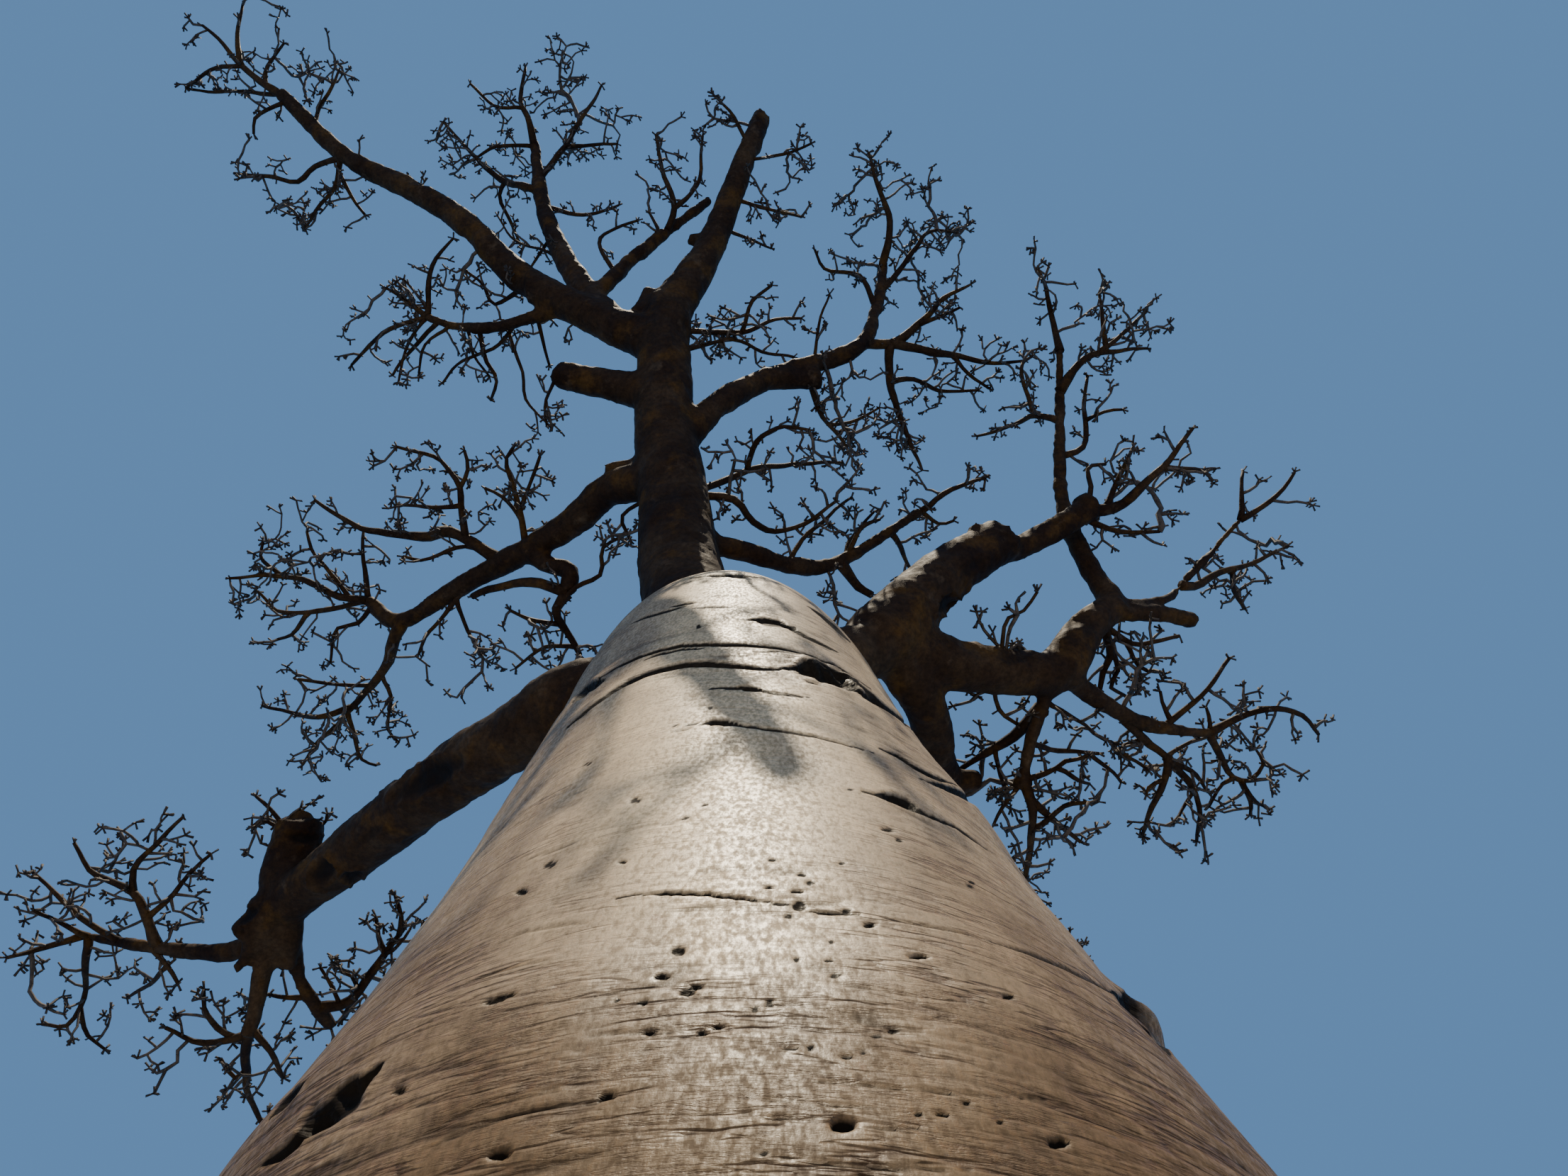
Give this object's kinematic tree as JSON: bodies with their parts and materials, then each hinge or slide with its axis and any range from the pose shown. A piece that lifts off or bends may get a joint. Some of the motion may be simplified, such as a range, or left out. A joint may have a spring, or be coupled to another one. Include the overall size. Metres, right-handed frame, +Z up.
{
  "type": "baobab tree",
  "caption": "Leafless baobab tree: a swollen, leaning, tapering trunk forks into heavy boughs, broken stubs and open sprays of crooked bare twigs.",
  "frame": {"origin": "centre of the flat cut under the trunk, at ground level", "axes": "+Z up; -Y toward the side that the picture was taken from; the trunk leans a little toward -X"},
  "size_m": [8.0382, 7.7439, 12.253],
  "materials": {
    "trunk_bark": "satin",
    "bough_bark": "matte",
    "twigs": "matte"
  },
  "bodies": {
    "root": {"trunk": "trunk_bark", "leader": "bough_bark", "dead_snag": "bough_bark", "bough_north_west": "bough_bark", "bough_north": "bough_bark", "bough_north_east": "bough_bark", "bough_west": "bough_bark", "stub_west": "bough_bark", "bough_east": "bough_bark", "bough_south_west": "bough_bark", "stub_hook": "bough_bark", "bough_south_east": "bough_bark", "bough_far_west": "bough_bark", "stub_upright": "bough_bark", "limb_far_west": "bough_bark", "limb_low_west": "bough_bark", "limb_back_west": "bough_bark", "bough_far_east": "bough_bark", "stub_north_east": "bough_bark", "limb_north_east": "bough_bark", "elbow_east": "bough_bark", "stub_east": "bough_bark", "limb_rising": "bough_bark", "limb_far_east": "bough_bark", "limb_south_east": "bough_bark", "limb_south": "bough_bark", "bough_back_east": "bough_bark", "bough_back_west": "bough_bark", "twigs_north_west_tip": "twigs", "twigs_north_west_low": "twigs", "twigs_north_left": "twigs", "twigs_north_top": "twigs", "twigs_north_east": "twigs", "twigs_snag": "twigs", "twigs_west_tip": "twigs", "twigs_west_low": "twigs", "twigs_south_west_top": "twigs", "twigs_south_west_middle": "twigs", "twigs_south_west_tip": "twigs", "twigs_south_west_low": "twigs", "twigs_south_west_under": "twigs", "twigs_hook": "twigs", "twigs_middle_east": "twigs", "twigs_east_top": "twigs", "twigs_east_low": "twigs", "twigs_east_out": "twigs", "twigs_inner_east": "twigs", "twigs_south_east_top": "twigs", "twigs_far_west_top": "twigs", "twigs_far_west_tip": "twigs", "twigs_low_west": "twigs", "twigs_back_west": "twigs", "twigs_rising": "twigs", "twigs_north_east_out": "twigs", "twigs_far_east": "twigs", "twigs_south_east_tip": "twigs", "twigs_south_east_under": "twigs", "twigs_south": "twigs", "twigs_back_east": "twigs", "twigs_back_middle": "twigs"}
  },
  "joints": []
}
